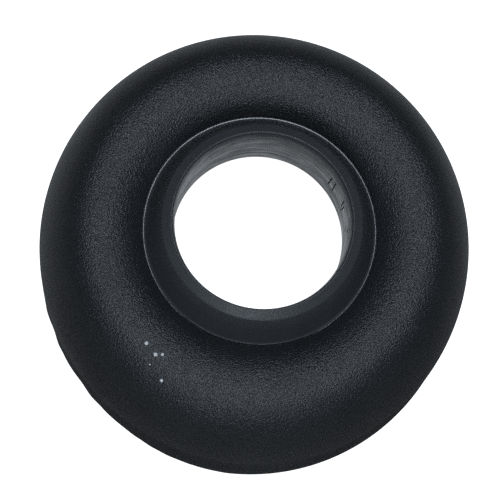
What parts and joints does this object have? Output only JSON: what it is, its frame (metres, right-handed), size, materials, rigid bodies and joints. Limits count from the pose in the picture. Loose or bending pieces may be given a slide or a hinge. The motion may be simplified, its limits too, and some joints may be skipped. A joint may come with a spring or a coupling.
{
  "type": "fence insulator",
  "caption": "Round moulded ring strain insulator for electric fence wire, with a raised collar round its bore and a waisted side that seats the wire.",
  "frame": {"origin": "centre of the flat back face, on the bore's axis", "axes": "+Z along the bore from the back face out through the collar; the part is round about Z"},
  "size_m": [0.064, 0.064, 0.0346],
  "materials": {
    "grained_plastic": "black, fine spark-eroded grain with a soft sheen",
    "bush_plastic": "black, smoother satin skin, drag marks in the bore"
  },
  "bodies": {
    "root": {"insulator_body": "grained_plastic", "bore_bush": "bush_plastic"}
  },
  "joints": []
}
